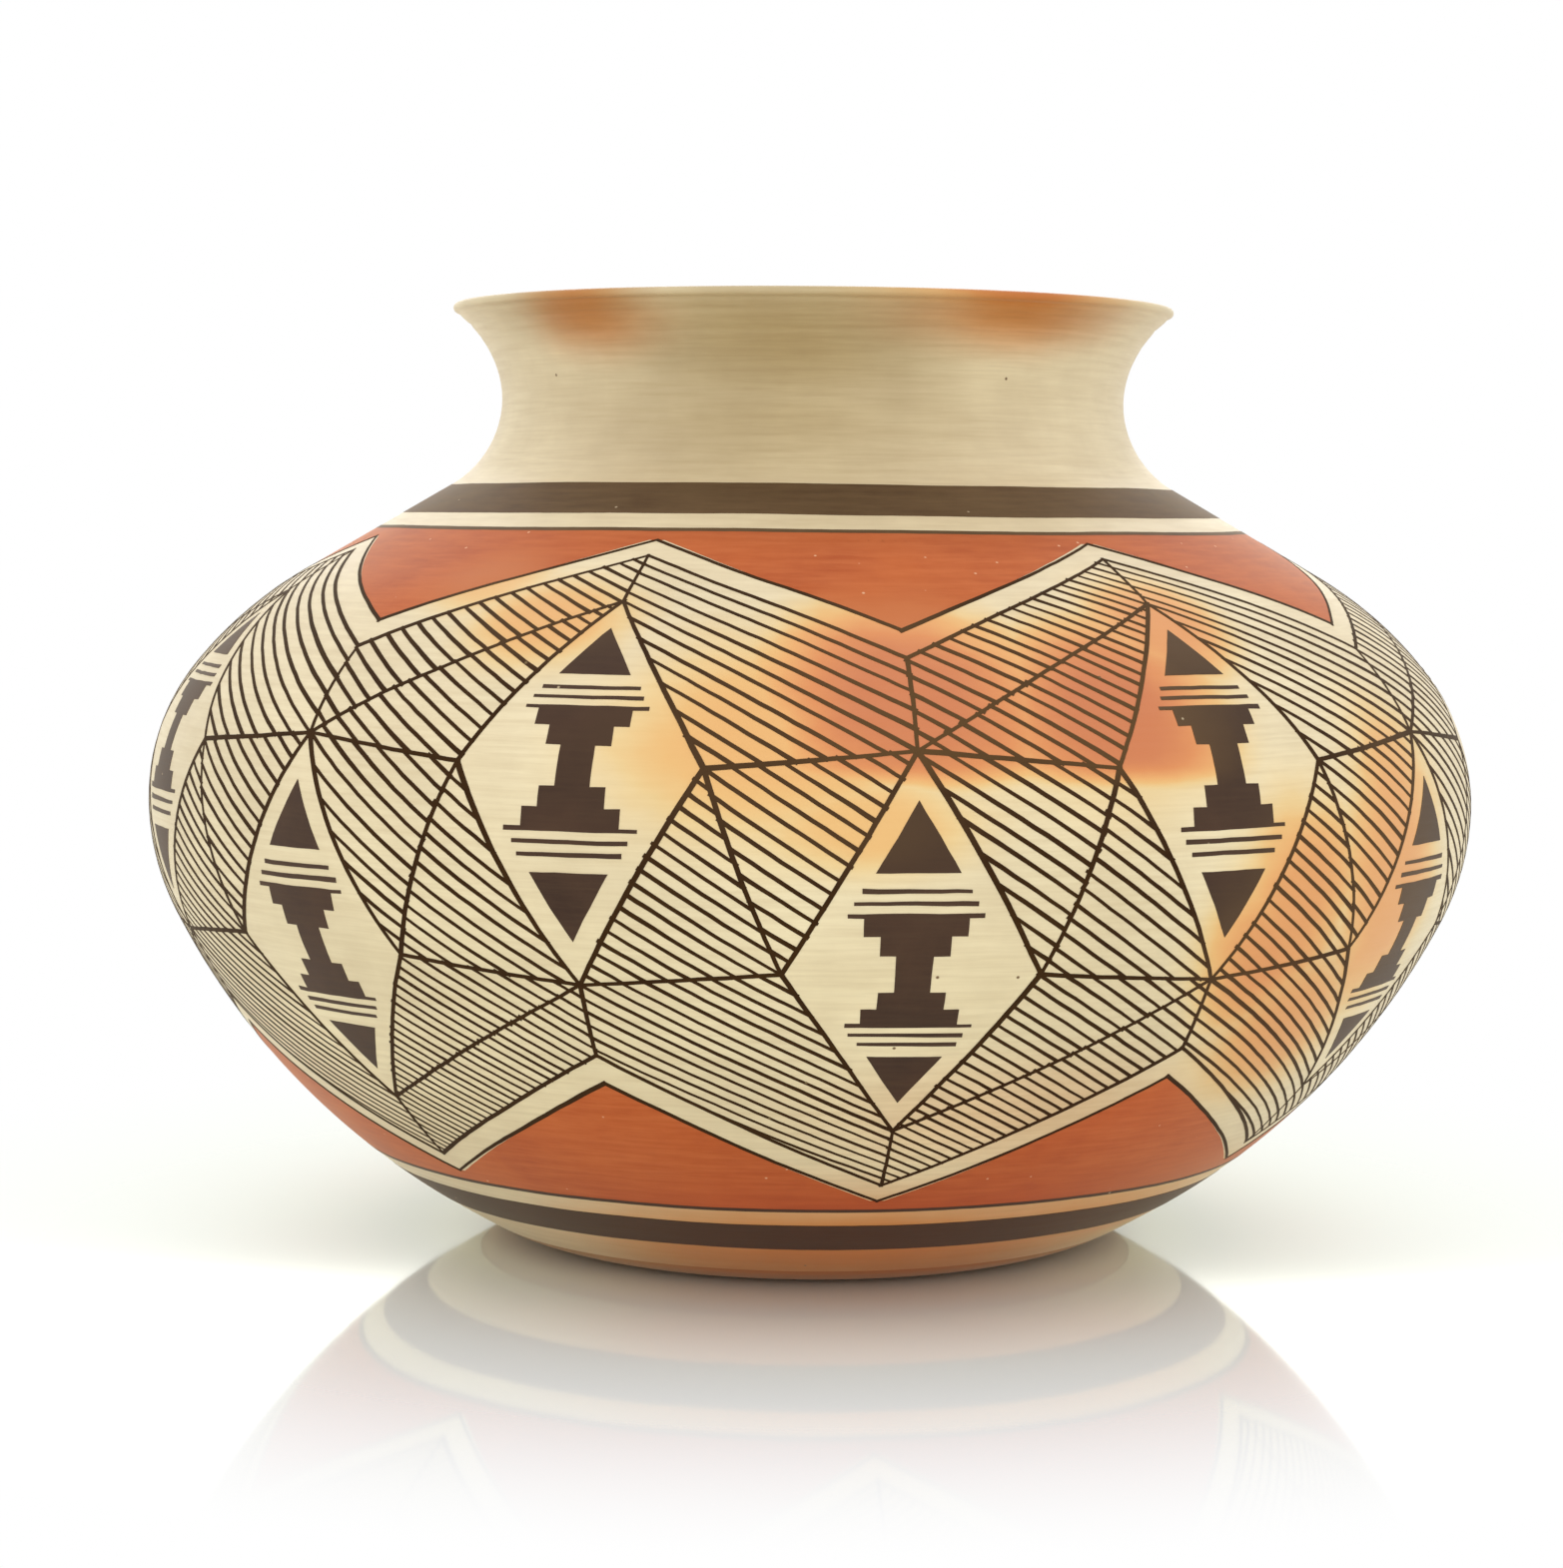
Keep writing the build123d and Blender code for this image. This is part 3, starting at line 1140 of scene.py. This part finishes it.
@dataclass
class PaintedField:
    """The painted field between the border lines, in equal cells round the jar.

    Red points hang from the upper border and stand on the lower one. Between them runs a field of fine
    hatching, with a cream lozenge of stepped terraces under and over each point. Sizes are in millimetres at
    the belly line. Each of PANELS has the knots at its corners and the spacing of its hatching. A stroke runs
    over by LANDING at its start and LIFTING at its end, and its width varies by FULL and EMPTY. The hatching
    turns by up to TURNED degrees in a panel, and each of its strokes strays by up to STRAYED of the spacing.
    The red points run RED_TUCK under the borders.
    """

    PANELS = (
        (("upper point", "near top", "far top", "upper valley"), 3.7),
        (("near top", "far side", "far top"), 3.35),
        (("near top", "near side", "far side"), 3.2),
        (("near side", "far foot", "far side"), 2.95),
        (("near side", "near foot", "far foot"), 2.9),
        (("near foot", "lower valley", "lower point", "far foot"), 2.8),
    )
    PANEL_LINES = (
        ("near top", "far top"),
        ("near top", "far side"),
        ("near side", "far side"),
        ("near side", "far foot"),
        ("near foot", "far foot"),
    )
    UPRIGHT_LINES = (
        ("upper point", "near top"),
        ("near foot", "lower valley"),
        ("upper valley", "far top"),
        ("far foot", "lower point"),
    )
    LANDING = (0.2, 0.9)
    LIFTING = (0.1, 0.8)
    FULL = (0.95, 1.25)
    EMPTY = (0.75, 1.0)
    TURNED = 1.0
    STRAYED = 0.06
    RED_TUCK = 1.5

    wall: Wall
    palette: Palette
    top: float
    bottom: float
    cells: int = 7
    phase: float = 21.0
    upper_depth: float = 40.0
    lower_depth: float = 46.0
    margin: float = 8.6
    lozenge: Flat = (26.0, 45.0)
    lower_row: float = -24.0
    upper_row: float = 17.0
    inner_share: float = 0.78
    cap_share: float = 0.6
    bar_shares: Flat = (0.5, 0.43)
    steps: tuple[Flat, ...] = ((0.36, 0.5), (0.24, 0.34), (0.12, 0.18))
    rim_line: float = 1.05
    panel_line: float = 0.95
    bar_line: float = 0.9
    hatch_share: float = 0.275
    hatch_slope: float = 33.5
    true_within: float = 7.0
    seed: int = 7
    chance: random.Random = field(init=False)

    def __post_init__(self) -> None:
        """Set what follows from the sizes."""
        self.chance = random.Random(self.seed)
        self.pitch = math.tau * self.wall.belly / self.cells
        self.half = self.pitch / 2

    def _middles(self) -> list[Flat]:
        """The middle of every lozenge round the jar: the lower row, then the upper row."""
        lower = [(self.phase + self.pitch * i, self.lower_row) for i in range(self.cells)]
        return lower + [(self.phase + self.half + self.pitch * i, self.upper_row) for i in range(self.cells)]

    def _knots(self, middle: float, side: int) -> dict[str, Flat]:
        """Name the corners that the panels of half a cell share.

        Args:
            middle: Where the middle of the lower lozenge is along the belly.
            side: 1 for the half to its right, and -1 for the half to its left.

        Returns:
            Each corner by name.
        """
        wide, tall = self.lozenge
        far = middle + side * self.half
        return {
            "upper point": (middle, self.top - self.upper_depth - self.margin),
            "upper valley": (far, self.top - self.margin),
            "lower point": (far, self.bottom + self.lower_depth + self.margin),
            "lower valley": (middle, self.bottom + self.margin),
            "near top": (middle, self.lower_row + tall),
            "near side": (middle + side * wide, self.lower_row),
            "near foot": (middle, self.lower_row - tall),
            "far top": (far, self.upper_row + tall),
            "far side": (far - side * wide, self.upper_row),
            "far foot": (far, self.upper_row - tall),
        }

    def _line(self, stencil: Stencil, start: Flat, end: Flat, width: float) -> None:
        """Draw a stroke whose ends run over a little, and whose width changes as the brush empties.

        Args:
            stencil: The drawing.
            start: Where the line starts.
            end: Where it ends.
            width: Its width with the brush neither full nor empty.
        """
        way = (Vector(end) - Vector(start)).normalized()
        over = self.chance.uniform(*self.LANDING)
        first, last = Vector(start) - way * over, Vector(end) + way * self.chance.uniform(*self.LIFTING)
        wide, narrow = width * self.chance.uniform(*self.FULL), width * self.chance.uniform(*self.EMPTY)
        if self.chance.random() < 0.5:
            wide, narrow = narrow, wide
        stencil.stroke(first[:], last[:], wide, narrow)

    def _chain(self, stencil: Stencil, points: list[Flat]) -> None:
        """Draw a run of outline strokes.

        Args:
            stencil: The drawing.
            points: The points that they run through.
        """
        for start, end in zip(points, points[1:]):
            self._line(stencil, start, end, self.rim_line)

    def build_red_points(self) -> None:
        """Lay the red points that hang from the upper border and stand on the lower one."""
        stencil = Stencil(self.wall, Brush(Lift.RED))
        high, low = self.top + self.RED_TUCK, self.bottom - self.RED_TUCK
        for i in range(self.cells):
            middle = self.phase + self.pitch * i
            tip = (middle, self.top - self.upper_depth)
            stencil.patch([(middle - self.half, high), tip, (middle + self.half, high)])
            foot = middle + self.half
            tip = (foot, self.bottom + self.lower_depth)
            stencil.patch([(foot - self.half, low), (foot + self.half, low), tip])
        stencil.lay("red_points", self.palette.red)

    def build_outlines(self) -> None:
        """Lay the lines round the red points, the cream margins and the lozenges."""
        stencil = Stencil(self.wall, Brush(Lift.OUTLINES))
        wide, tall = self.lozenge
        for i in range(self.cells):
            left = self.phase + self.pitch * i - self.half
            for shift in (0.0, self.margin):
                high, low = self.top - shift, self.bottom + shift
                tip = (left + self.half, self.top - self.upper_depth - shift)
                self._chain(stencil, [(left, high), tip, (left + self.pitch, high)])
                tip = (left + self.pitch, self.bottom + self.lower_depth + shift)
                self._chain(stencil, [(left + self.half, low), tip, (left + self.half + self.pitch, low)])
        for across, middle in self._middles():
            corners = [(across - wide, middle), (across, middle - tall), (across + wide, middle)]
            self._chain(stencil, [*corners, (across, middle + tall), corners[0]])
        stencil.lay("outline_strokes", self.palette.line)

    def build_terraces(self) -> None:
        """Lay the dark stepped terraces and the fine bars inside each lozenge."""
        stencil = Stencil(self.wall, Brush(Lift.TERRACES))
        for middle in self._middles():
            self._terrace(stencil, middle)
        stencil.lay("terrace_fills", self.palette.black)

    def _terrace(self, stencil: Stencil, middle: Flat) -> None:
        """Fill a lozenge with a stepped terrace that narrows at its middle, bars, and a point at each end.

        Args:
            stencil: The drawing.
            middle: The lozenge's middle.
        """
        wide, tall = (size * self.inner_share for size in self.lozenge)

        def at(x_share: float, y_share: float) -> Flat:
            """A point of the lozenge by its shares of the half width and half height."""
            return middle[0] + wide * x_share, middle[1] + tall * y_share

        reaches = [reach for _, reach in self.steps]
        columns = [-reach for reach in reaches] + reaches[::-1]
        cells = []
        for side in (1, -1):
            for (high, reach), (low, _) in zip(self.steps, (*self.steps[1:], (0.0, 0.0))):
                low, high = sorted((low * side, high * side))
                for left, right in zip(columns, columns[1:]):
                    if max(-left, right) <= reach:
                        cells.append([at(left, low), at(right, low), at(right, high), at(left, high)])
            cap, flat = self.cap_share * side, (1 - self.cap_share) * side
            stencil.patch([at(0, side), at(-flat, cap), at(flat, cap)])
            for share in (*self.bar_shares, self.steps[0][0]):
                self._line(stencil, at(share - 1, share * side), at(1 - share, share * side), self.bar_line)
        stencil.patch(*cells)

    def build_panel_lines(self) -> None:
        """Lay the lines that part the hatching into panels."""
        stencil = Stencil(self.wall, Brush(Lift.PANELS))
        for index, knots in enumerate(self._halves()):
            for start, end in self.PANEL_LINES + (self.UPRIGHT_LINES if index % 2 else ()):
                self._line(stencil, knots[start], knots[end], self.panel_line)
        stencil.lay("panel_strokes", self.palette.line)

    def _halves(self) -> list[dict[str, Flat]]:
        """The corners of every half cell round the jar."""
        return [self._knots(self.phase + self.pitch * i, side) for i in range(self.cells) for side in (1, -1)]

    def build_hatching(self) -> None:
        """Lay the fine hatching panel by panel, each with its own spacing."""
        stencil = Stencil(self.wall, Brush(Lift.BLACK))
        for knots in self._halves():
            for names, spacing in self.PANELS:
                self._hatch(stencil, Convex.around([knots[name] for name in names]), spacing)
        stencil.lay("hatch_strokes", self.palette.line)

    def _hatch(self, stencil: Stencil, panel: Convex, spacing: float) -> None:
        """Fill a panel with parallel strokes that slope down to the right, along an edge that nearly does.

        Args:
            stencil: The drawing.
            panel: The panel's outline.
            spacing: The distance between strokes.
        """
        slope = math.radians(self.hatch_slope + self.chance.uniform(-self.TURNED, self.TURNED))
        for (ax, ay), (bx, by) in zip(panel.corners, panel.corners[1:] + panel.corners[:1]):
            edge = math.atan2(ay - by, bx - ax) if bx > ax else math.atan2(by - ay, ax - bx)
            if abs(edge - slope) < math.radians(self.true_within):
                slope = edge
        way, across = (math.cos(slope), -math.sin(slope)), (math.sin(slope), math.cos(slope))
        reaches = [x * across[0] + y * across[1] for x, y in panel.corners]
        count = round((max(reaches) - min(reaches)) / spacing)
        step = (max(reaches) - min(reaches)) / count
        for i in range(1, count):
            offset = min(reaches) + step * (i + self.chance.uniform(-self.STRAYED, self.STRAYED))
            start = (across[0] * offset, across[1] * offset)
            span = panel.span(start, way)
            if span and span[1] - span[0] > spacing / 2:
                ends = [(start[0] + way[0] * t, start[1] + way[1] * t) for t in span]
                self._line(stencil, ends[0], ends[1], spacing * self.hatch_share)

    def build(self) -> None:
        """Lay the whole field."""
        self.build_red_points()
        self.build_terraces()
        self.build_hatching()
        self.build_panel_lines()
        self.build_outlines()


# The studio


@dataclass(frozen=True)
class Studio:
    """The camera, the glossy pale floor and the soft light of the photograph.

    Each of LAMPS has its name, its place and side in metres, and its power in watts.
    """

    LAMPS = (
        ("overhead", (0.0, -0.25, 1.5), 1.6, 1.5),
        ("front", (0.0, -1.3, 0.15), 1.0, 2.4),
        ("back", (0.0, 1.4, 1.0), 1.4, 9.0),
    )
    WHITE = (1, 1, 1, 1)
    MATT = (0.92, 0.95, 0.85, 1)
    GLOSS = (0.96, 1, 0.91, 1)
    GLOSS_ROUGHNESS = 0.06

    frame_pixels: Flat = (1565.0, 1570.0)
    focal_pixels: float = 3468.4
    distance: float = 795.0
    height: float = 165.0
    pitch: float = 4.526
    roll: float = 0.501
    axis_pixel: float = 810.0
    floor_size: float = 6000.0
    floor_ior: float = 1.85
    mirror_fade: Flat = (150.0, 265.0)
    white_fade: Flat = (60.0, 215.0)

    def build(self) -> None:
        """Set up the camera, floor, lamps and world."""
        self._camera()
        self._floor()
        for lamp in self.LAMPS:
            self._lamp(*lamp)
        self._world()
        bpy.context.scene.view_settings.view_transform = "Standard"

    def _camera(self) -> None:
        """Put the camera where the outline and the painted circles of the photograph place it."""
        data = bpy.data.cameras.new("camera")
        data.sensor_fit = "VERTICAL"
        data.sensor_height = 36.0
        data.lens = self.focal_pixels / self.frame_pixels[1] * data.sensor_height
        camera = bpy.data.objects.new("camera", data)
        aside = math.atan((self.axis_pixel - self.frame_pixels[0] / 2) / self.focal_pixels)
        look = Euler((math.radians(90 - self.pitch), 0, aside)).to_matrix().to_4x4()
        place = Matrix.Translation(Vector((0, -self.distance, self.height)) * MM)
        camera.matrix_world = place @ look @ Matrix.Rotation(math.radians(self.roll), 4, "Z")
        bpy.context.scene.collection.objects.link(camera)
        bpy.context.scene.camera = camera

    def _floor(self) -> None:
        """Lay the floor."""
        bm = bmesh.new()
        bmesh.ops.create_grid(bm, x_segments=1, y_segments=1, size=self.floor_size / 2 * MM)
        mesh = bpy.data.meshes.new("floor")
        bm.to_mesh(mesh)
        bm.free()
        floor = bpy.data.objects.new("floor", mesh)
        bpy.context.scene.collection.objects.link(floor)
        mesh.materials.append(self._gloss_floor())

    def _gloss_floor(self) -> bpy.types.Material:
        """Build the floor's finish: polished acrylic over white, which goes to plain white away from the jar.

        Returns:
            The material.
        """
        material, tree = new_material("white_gloss_floor")
        where = add(tree, "ShaderNodeTexCoord").outputs["Object"]
        away = add(tree, "ShaderNodeVectorMath", {0: where}, operation="LENGTH").outputs["Value"]
        matt = add(tree, "ShaderNodeBsdfDiffuse", {"Color": self.MATT}).outputs[0]
        near, far = (edge * MM for edge in self.white_fade)
        links = {"Value": away, "From Min": near, "From Max": far}
        plain = add(tree, "ShaderNodeMapRange", links, interpolation_type="SMOOTHSTEP").outputs[0]
        plain = add(tree, "ShaderNodeMath", {0: plain, 1: self._shown(tree)}, operation="MULTIPLY").outputs[0]
        white = add(tree, "ShaderNodeEmission", {"Color": self.WHITE, "Strength": 1.0}).outputs[0]
        base = add(tree, "ShaderNodeMixShader", {0: plain, 1: matt, 2: white}).outputs[0]
        near, far = (edge * MM for edge in self.mirror_fade)
        links = {"Value": away, "From Min": near, "From Max": far, "To Min": 1.0, "To Max": 0.0}
        fade = add(tree, "ShaderNodeMapRange", links, interpolation_type="SMOOTHSTEP").outputs[0]
        # It mirrors at the photograph's low angle, and little from above.
        mirror = add(tree, "ShaderNodeFresnel", {"IOR": self.floor_ior}).outputs[0]
        shine = add(tree, "ShaderNodeMath", {0: fade, 1: mirror}, operation="MULTIPLY").outputs[0]
        links = {"Color": self.GLOSS, "Roughness": self.GLOSS_ROUGHNESS}
        gloss = add(tree, "ShaderNodeBsdfGlossy", links).outputs[0]
        surface = add(tree, "ShaderNodeMixShader", {0: shine, 1: base, 2: gloss}).outputs[0]
        add(tree, "ShaderNodeOutputMaterial", {"Surface": surface})
        return material

    @staticmethod
    def _shown(tree: Tree) -> Socket:
        """Tell the rays that show the floor, straight or mirrored, from those that only bring light.

        Args:
            tree: The floor's node tree.

        Returns:
            1 for camera, glossy and transmission rays, and 0 for the rest.
        """
        path = add(tree, "ShaderNodeLightPath").outputs
        links = {0: path["Is Camera Ray"], 1: path["Is Glossy Ray"]}
        shown = add(tree, "ShaderNodeMath", links, operation="MAXIMUM").outputs[0]
        links = {0: shown, 1: path["Is Transmission Ray"]}
        return add(tree, "ShaderNodeMath", links, operation="MAXIMUM").outputs[0]

    def _lamp(self, name: str, place: tuple[float, float, float], size: float, power: float) -> None:
        """Hang a soft square lamp that points at the jar's belly.

        Args:
            name: The lamp's name.
            place: Where it hangs, in metres.
            size: Its side, in metres.
            power: Its power in watts.
        """
        data = bpy.data.lights.new(name, "AREA")
        data.size, data.energy = size, power
        lamp = bpy.data.objects.new(name, data)
        lamp.location = place
        lamp.rotation_euler = (Vector((0, 0, 0.1)) - Vector(place)).to_track_quat("-Z", "Y").to_euler()
        bpy.context.scene.collection.objects.link(lamp)

    def _world(self) -> None:
        """Surround the jar with plain white, like the tent that the photograph was taken in."""
        world = bpy.data.worlds.new("studio")
        bpy.context.scene.world = world
        world.use_nodes = True
        tree = world.node_tree
        tree.nodes.clear()
        light = add(tree, "ShaderNodeBackground", {"Color": self.WHITE, "Strength": 1.0}).outputs[0]
        add(tree, "ShaderNodeOutputWorld", {"Surface": light})


# Building it all


def main() -> None:
    """Build the jar round its frame, and the studio round the jar."""
    logging.basicConfig(level=logging.INFO, format="%(message)s")
    noise.seed_set(NOISE_SEED)
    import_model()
    wall = Wall(JarShape())
    palette = Palette(CloudsAndShade(wall))
    JarBody(wall, palette).build()
    top, bottom = Borders(wall, palette).build()
    PaintedField(wall, palette, top, bottom).build()
    Studio().build()


if __name__ == "__main__":
    main()
